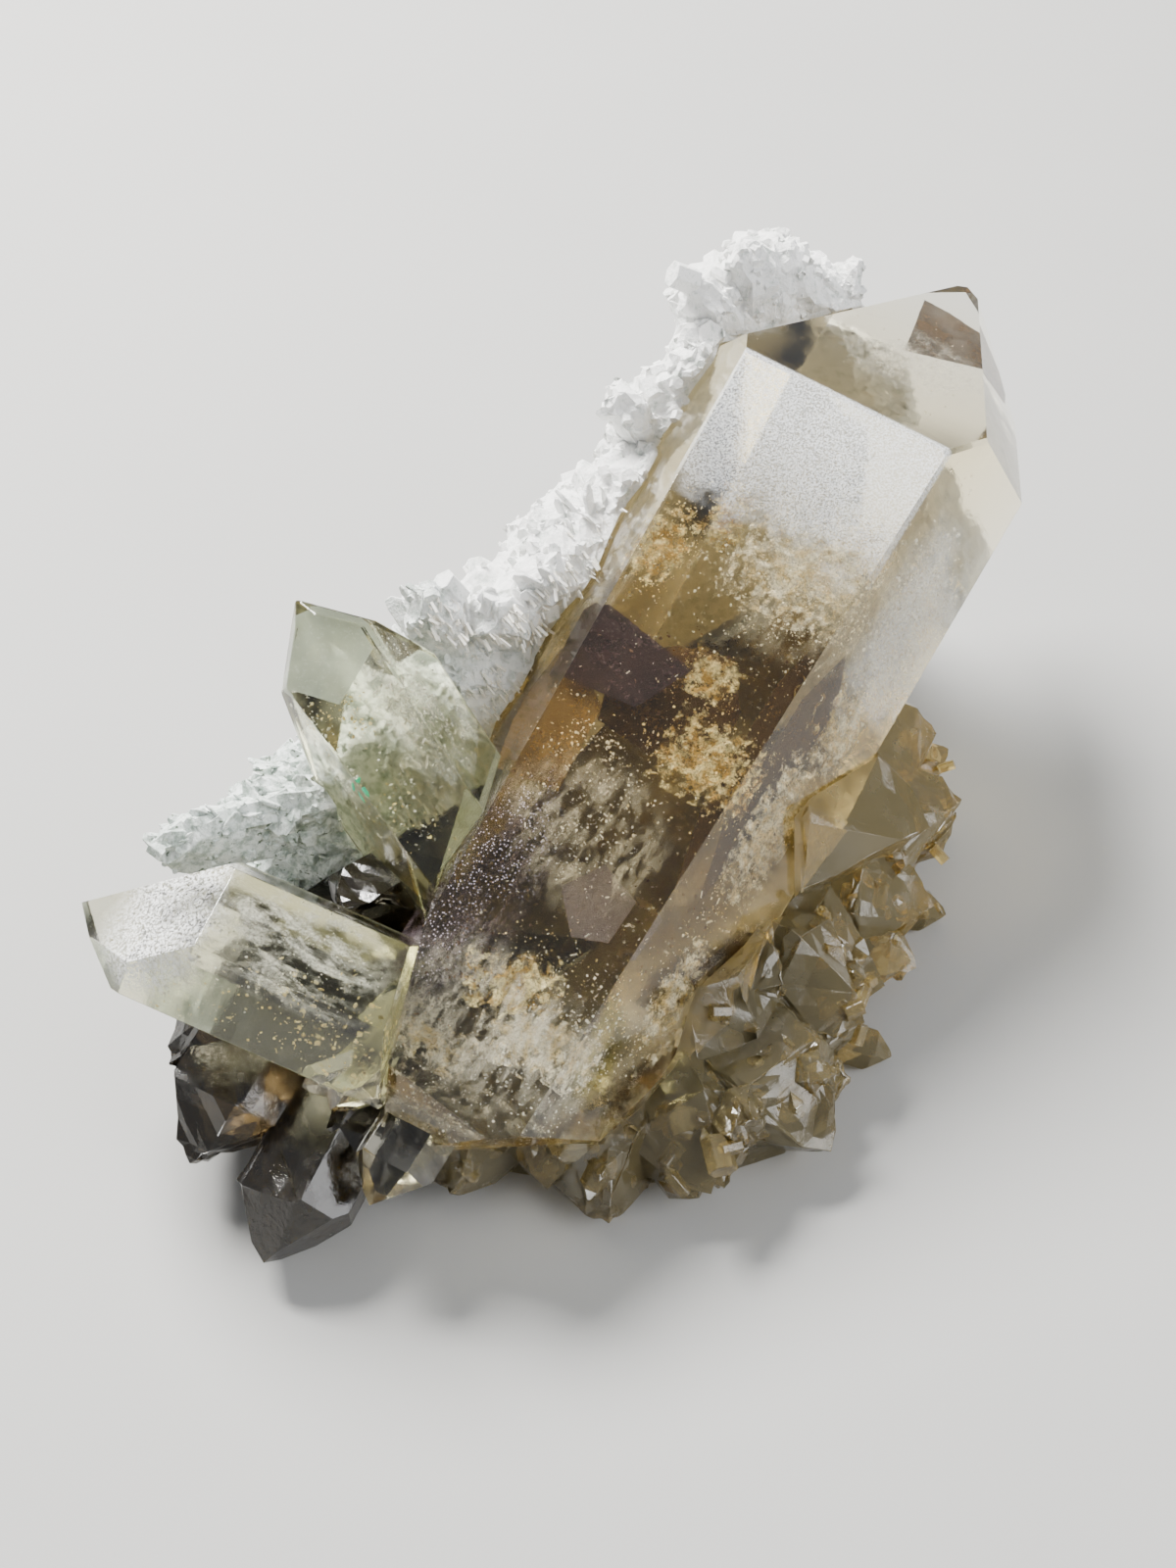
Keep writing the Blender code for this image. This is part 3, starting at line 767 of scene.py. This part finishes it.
def main_plates(walls):
    brown = healed_plate("brown plates", (0.10, 0.06, 0.025), (0.24, 0.16, 0.08), 0.85)
    violet = healed_plate("violet plates", (0.04, 0.026, 0.03), (0.15, 0.115, 0.125), 0.95)
    lilac = healed_plate("lilac plate", (0.22, 0.18, 0.18), (0.46, 0.41, 0.43), 0.55)
    for name, material, table in (
        ("brown_plates", brown, MAIN_BROWN_PLATES),
        ("violet_plates", violet, MAIN_VIOLET_PLATES),
    ):
        plates = [
            inner_sheet("plate", MAIN_PLACE, walls, middle, size, tilt, 0.6, seed, corners)
            for middle, size, tilt, seed, corners in table
        ]
        finish_piece(joined(name, plates), material, "smoky_quartz")
    plate = inner_sheet("lilac_plate", MAIN_PLACE, walls, *MAIN_LILAC_PLATE, 0.5, 5, 5)
    finish_piece(plate, lilac, "smoky_quartz")
    haze = inner_sheet("violet_haze", MAIN_PLACE, walls, *MAIN_VIOLET_HAZE, 3, 7)
    finish_piece(haze, milky_veil("violet haze", MAIN_PLACE, (0.13, 0.09, 0.10), 0.8), "smoky_quartz")


def main_gleams(walls):
    golden = crumpled_gleam("golden gleams", (0.99, 0.89, 0.52), (0.50, 0.33, 0.09))
    cream = crumpled_gleam("cream gleams", (0.99, 0.97, 0.86), (0.78, 0.66, 0.40))
    for name, material, table in (
        ("golden_gleams", golden, MAIN_GOLD_BREAKS),
        ("cream_gleams", cream, MAIN_CREAM_BREAKS),
    ):
        breaks = []
        for middle, size, tilt in table:
            seed = 40 + middle[1]
            breaks.append(inner_sheet("break", MAIN_PLACE, walls, middle, size, tilt, 1.6, seed, 0, 0.6))
        finish_piece(joined(name, breaks), material, "smoky_quartz")


def main_amber(walls):
    plate = inner_sheet("amber_plate", MAIN_PLACE, walls, *MAIN_AMBER_PLATE, 0.5, 8, 5)
    finish_piece(plate, healed_plate("amber plate", (0.24, 0.15, 0.05), (0.42, 0.30, 0.13), 0.7), "smoky_quartz")


def inside_main():
    walls = flat_walls("main_crystal", MAIN_SMALLEST_WALL)
    main_flakes(walls)
    main_veils(walls)
    main_plates(walls)
    main_gleams(walls)
    main_amber(walls)


# what shows inside the left crystal
LEFT_WHITE = (
    ((4, 4, 3.5), (1.6, 5, 1.2), 900, 0.06, 0.35),
    ((6, -4, 2.5), (1.5, 4, 1.2), 700, 0.06, 0.30),
    ((-2, -6, 3.5), (2, 3, 1), 260, 0.10, 0.40),
    ((-5.5, 2, 2.5), (0.5, 7, 0.8), 420, 0.12, 0.60),
)
LEFT_CREAM = (
    ((-2.5, 4.5, 4.0), (1.6, 1.8, 0.8), 260, 0.10, 0.50),
    ((-3, -7, 3), (1.5, 3, 1), 140, 0.10, 0.40),
)
LEFT_HAIRS = (
    ((4, 3, 4.0), (1.8, 5, 1.2), 800, 0.8, 4.5),
    ((5, -6, 3.0), (2, 4, 1.2), 500, 0.8, 4.0),
)
LEFT_VEILS = (
    ((4, 0, 2), (9, 26, 0), (0, 25, 0), 11),
    ((1, 6, 0), (12, 16, 0), (10, -12, 0), 12),
)
LEFT_PALE_PLATE = ((0, 10.5, 5.5), (10, 9, 0), (-8, 0, 20))

# its painted green glints, green flakes that stand for flashes of reflected light: the place of each, how far it is
# turned, and the size of both
PAINTED_GREEN_GLINTS = (
    ((-4.7, -2.0, 5.6), 0.6),
    ((-4.5, -3.3, 5.6), 1.4),
)
GLINT_SIZE = (1.5, 0.55, 0.4)

# what shows inside the lower left crystal
LOW_WHITE = (
    ((-2, 18, 4.5), (3.0, 3.2, 1.0), 2400, 0.12, 0.70),
    ((-1, 15, -1), (3, 3, 2), 500, 0.12, 0.55),
    ((1, 6, 4), (3, 5, 1.2), 500, 0.08, 0.35),
)
LOW_GOLD = (
    ((-3.5, -2, 1), (1.6, 3.0, 2.0), 320, 0.15, 0.65),
    ((-4.5, 8, 0), (1.2, 5.0, 2.0), 200, 0.12, 0.45),
)
LOW_HAIRS = (
    ((0, 4, 3.5), (3, 5, 1.2), 70, 0.8, 3.0),
)
LOW_VEILS = (
    ((-2, 17, 4), (15, 18, 0), (12, -8, 0), 13),
    ((0, 15, 0), (15, 18, 0), (-20, 10, 0), 15),
    ((1, 3, 4), (14, 20, 0), (0, 4, 0), 14),
)


def inside_small(name, place, walls, white, gold, hairs, veils, seed):
    """Flakes and hairs inside one of the two pale crystals, and its veils, still without a finish."""
    flake = flake_shape()
    flakes = strewn(name + "_white_flakes", flake, inner_places(place, walls, white, seed))
    finish_piece(flakes, bpy.data.materials["white flakes"], "pale_smoky_quartz")
    sparks = strewn(name + "_golden_flakes", flake, inner_places(place, walls, gold, seed + 1))
    finish_piece(sparks, bpy.data.materials["golden flakes"], "pale_smoky_quartz")
    threads = strewn(name + "_white_hairs", hair_shape(), inner_places(place, walls, hairs, seed + 2))
    finish_piece(threads, bpy.data.materials["white hairs"], "pale_smoky_quartz")
    sheets = [
        inner_sheet("veil", place, walls, middle, size, tilt, 2.5, sheet_seed)
        for middle, size, tilt, sheet_seed in veils
    ]
    return joined(name + "_milky_veils", sheets)


def glint_place(middle, turn):
    place = LEFT_PLACE @ Matrix.Translation(Vector(middle) * MM) @ Matrix.Rotation(turn, 4, "Z")
    return place @ Matrix.Diagonal((*(Vector(GLINT_SIZE) * MM), 1))


def inside_left():
    walls = flat_walls("left_crystal", SMALL_SMALLEST_WALL)
    veils = inside_small("left", LEFT_PLACE, walls, LEFT_WHITE, LEFT_CREAM, LEFT_HAIRS, LEFT_VEILS, 20)
    finish_piece(veils, milky_veil("pale veils", LEFT_PLACE, (0.93, 0.95, 0.93), 0.6), "pale_smoky_quartz")
    # painted glints: two small flat green flakes stand for flashes of reflected light
    glints = strewn("painted_green_glints", flake_shape(), [glint_place(*glint) for glint in PAINTED_GREEN_GLINTS])
    finish_piece(glints, inclusion("painted green glints", (0.02, 0.75, 0.35), (0.05, 0.85, 0.55), 0.2), "pale_smoky_quartz")
    plate = inner_sheet("left_pale_plate", LEFT_PLACE, walls, *LEFT_PALE_PLATE, 0.4, 9, 5)
    plate_finish = healed_plate("pale plates", (0.62, 0.68, 0.58), (0.86, 0.90, 0.84), 0.65)
    finish_piece(plate, plate_finish, "pale_smoky_quartz")


def inside_lower_left():
    walls = flat_walls("lower_left_crystal", SMALL_SMALLEST_WALL)
    veils = inside_small("low", LOWER_LEFT_PLACE, walls, LOW_WHITE, LOW_GOLD, LOW_HAIRS, LOW_VEILS, 30)
    snowy = milky_veil("snowy veils", LOWER_LEFT_PLACE, (0.96, 0.97, 0.96), 1.0)
    finish_piece(veils, snowy, "pale_smoky_quartz")


def left_crystal():
    piece = whole_copy("left_crystal", "pale_left_crystal")
    soft_edges(piece, 0.18)
    material = pale_quartz("pale left quartz", LEFT_PLACE, (0.97, 0.98, 0.94), (0.92, 0.92, 0.80), 55)
    finish_piece(piece, material, "pale_smoky_quartz", "left_crystal")


def lower_left_crystal():
    piece = whole_copy("lower_left_crystal", "pale_lower_left_crystal")
    soft_edges(piece, 0.18)
    colours = ((0.97, 0.97, 0.94), (0.93, 0.90, 0.76))
    material = pale_quartz("pale lower quartz", LOWER_LEFT_PLACE, *colours, 70, (13, 19))
    finish_piece(piece, material, "pale_smoky_quartz", "lower_left_crystal")


def spots_on(piece, count, chance, wanted):
    """Points spread evenly over the faces that are wanted, each with the way its face looks."""
    faces = [face for face in piece.data.polygons if wanted(face.center / MM, face.normal)]
    weights = [face.area for face in faces]
    spots = []
    for face in chance.choices(faces, weights=weights, k=count):
        corners = [piece.data.vertices[number].co for number in face.vertices]
        first, second = sorted((chance.random(), chance.random()))
        number = chance.randrange(1, len(corners) - 1)
        point = corners[0] * first + corners[number] * (second - first) + corners[number + 1] * (1 - second)
        spots.append((point, face.normal.copy()))
    return spots


def growing_places(piece, count, seed, sizes, wanted, lean=0.35, way=None, sunk=0.25):
    """Places for small crystals that stand on a piece, along its faces' normals or more one way.
    Lean is how unevenly they stand, and sunk how much of each is below the face."""
    chance = random.Random(seed)
    places = []
    for point, normal in spots_on(piece, count, chance, wanted):
        size = (sizes[0] + (sizes[1] - sizes[0]) * chance.random() ** 2) * MM
        direction = normal if way is None else (Vector(way) + normal * 0.5)
        turn = turned_towards(direction, chance, lean)
        root = point - turn.to_3x3() @ Vector((0, 0, size * sunk))
        places.append(Matrix.Translation(root) @ turn @ Matrix.Scale(size, 4))
    return places


def clear_of(places, walls_of_neighbours, margin):
    """Leaves out the small crystals that would stick into a big one or below the resting face."""
    kept = []
    for place in places:
        ends = (place.translation, place @ Vector((0, 0, 0.5)), place @ Vector((0, 0, 1)))
        sunk = min(end.z for end in ends) < 0.45 * place.median_scale
        touching = any(well_inside(end, walls, -margin) for end in ends for walls in walls_of_neighbours)
        if not sunk and not touching:
            kept.append(place)
    return kept


def roughened(piece, neighbours, rise):
    """Cuts a skin finer and moves its corners along their normals by what rise gives for them.
    Corners near the floor or against a neighbour stay."""
    edit_all(piece)
    bpy.ops.mesh.quads_convert_to_tris()
    bpy.ops.mesh.subdivide(number_cuts=2)
    stop_editing()
    outward = [corner.normal.copy() for corner in piece.data.vertices]
    for corner, normal in zip(piece.data.vertices, outward):
        point = corner.co
        if point.z > 0.6 * MM and not any(well_inside(point, walls, -0.9) for walls in neighbours):
            corner.co = point + normal * rise(point / MM) * MM


def sugary(point):
    """Small facets over some of the crust, while its best crystals stay crisp."""
    share = min(max(noise.noise(point * 0.11) * 4 + 0.6, 0), 1)
    return share * (noise.noise(point * 0.9) * 0.5 + noise.noise(point * 2.1) * 0.35)


def lumpy(point):
    """The rock's lumps and sharp ribs."""
    ribs = 1 - abs(noise.noise(point * 0.3)) * 3
    return noise.fractal(point * 0.45, 0.75, 2.1, 5) * 0.55 + ribs * 0.25


def crystal_walls():
    """The walls of each big crystal, for what has to keep clear of them."""
    walls = [flat_walls(node, SMALL_SMALLEST_WALL) for node in ("left_crystal", "lower_left_crystal")]
    walls.append(flat_walls("main_crystal", MAIN_SMALLEST_WALL))
    return walls


def crust():
    piece = whole_copy("smoky_crust", "smoky_crystal_crust")
    finish = crust_quartz()
    neighbours = crystal_walls()
    soft_edges(piece, 0.15)
    roughened(piece, neighbours, sugary)

    def low_side(middle, normal):
        return 0.8 < middle.z < 15 and normal.z > -0.5 and middle.x > -14

    stout = growing_places(piece, 110, 50, (2.2, 6.0), low_side, 0.7, None, 0.55)
    stout = strewn("small_crust_crystals", crystal_shape(0.62, 0.25), clear_of(stout, neighbours, 0.3))
    slim = growing_places(piece, 260, 51, (1.4, 4.0), low_side, 0.7, None, 0.5)
    slim = strewn("fine_crust_crystals", crystal_shape(0.45, 0.1), clear_of(slim, neighbours, 0.3))
    finish_piece(piece, finish, "smoky_crust", "smoky_crust")
    finish_piece(stout, finish, "smoky_crust")
    finish_piece(slim, finish, "smoky_crust")


# where on the rock something grows
def on_crest(middle, normal):
    return middle.z > 14 and normal.z > -0.3


def off_the_floor(middle, normal):
    return middle.z > 1.5


def between_crystals(middle, normal):
    return -20 < middle.x < 6 and middle.y < 26 and middle.z > 18 and normal.z > 0


def on_left_end(middle, normal):
    return middle.x < -20 and middle.z > 12 and normal.z > 0


def rock():
    piece = whole_copy("pale_rock", "pale_backing_rock")
    neighbours = crystal_walls()
    neighbours.append([(Vector(SEAM_POINT) * MM, Vector(SEAM_NORMAL).normalized())])
    roughened(piece, neighbours, lumpy)
    finish = pale_rock()

    stout = growing_places(piece, 520, 60, (1.2, 4.6), on_crest, 0.5)
    stout = strewn("small_rock_crystals", crystal_shape(0.7, 0.4), clear_of(stout, neighbours, 0.2))
    grains = growing_places(piece, 1500, 61, (0.6, 1.6), off_the_floor, 0.7)
    grains = strewn("rock_grains", crystal_shape(0.9, 0.5), clear_of(grains, neighbours, 0.2))
    blades = growing_places(piece, 150, 62, (1.5, 5.0), between_crystals, 0.3, (-0.6, 0.5, 0.7), 0.45)
    blades = strewn("pale_blades", blade_shape(), clear_of(blades, neighbours, 0.2))
    fibres = growing_places(piece, 2200, 64, (2.5, 7.0), between_crystals, 0.2, (-0.7, 0.9, 0.3), 0.3)
    fibres = strewn("white_fibres", hair_shape(), clear_of(fibres, neighbours, 0.2))
    finish_piece(fibres, bpy.data.materials["white hairs"], "pale_rock")
    scales = growing_places(piece, 220, 63, (1.4, 4.5), on_left_end, 0.35, (-1.0, -0.2, 0.25), 0.5)
    scales = strewn("grey_green_blades", blade_shape(), clear_of(scales, neighbours, 0.2))
    finish_piece(piece, finish, "pale_rock", "pale_rock")
    for small in (stout, grains, blades, scales):
        finish_piece(small, finish, "pale_rock")


# The room and the order of work

# the photograph's view, in metres and degrees, and the lens in millimetres
CAMERA_PLACE = (0, -0.15004, 0.1859)
CAMERA_TILT = 43
CAMERA_LENS = 49.5

# what the lights point at
LIT_PLACE = (0, 0.01, 0.03)


def set_camera():
    bpy.ops.object.camera_add(location=CAMERA_PLACE, rotation=(math.radians(CAMERA_TILT), 0, 0))
    camera = bpy.context.object
    camera.data.lens = CAMERA_LENS
    camera.data.clip_start = 0.01
    bpy.context.scene.camera = camera


def soft_light(name, place, size, power, colour):
    bpy.ops.object.light_add(type="AREA", location=place)
    light = bpy.context.object
    light.name = name
    light.rotation_euler = (Vector(LIT_PLACE) - Vector(place)).to_track_quat("-Z", "Y").to_euler()
    light.data.shape = "DISK"
    light.data.size = size
    light.data.energy = power
    light.data.color = colour


def set_room():
    deselect()
    bpy.ops.mesh.primitive_plane_add(size=6, location=(0, 0, 0))
    floor = bpy.context.object
    floor.name = "floor"
    floor.data.materials.append(floor_finish())
    soft_light("key from the back left", (-0.30, 0.40, 0.60), 0.36, 27.0, (1, 0.98, 0.95))
    soft_light("fill from the right", (0.6, -0.28, 0.45), 0.6, 6.0, (0.97, 0.98, 1))
    world = bpy.data.worlds.new("studio")
    world.use_nodes = True
    world.node_tree.nodes["Background"].inputs["Color"].default_value = (0.95, 0.97, 1.0, 1.0)
    world.node_tree.nodes["Background"].inputs["Strength"].default_value = 0.5
    bpy.context.scene.world = world


set_camera()
set_room()
deselect()
main_crystal()
inside_main()
left_crystal()
inside_left()
lower_left_crystal()
inside_lower_left()
crust()
rock()
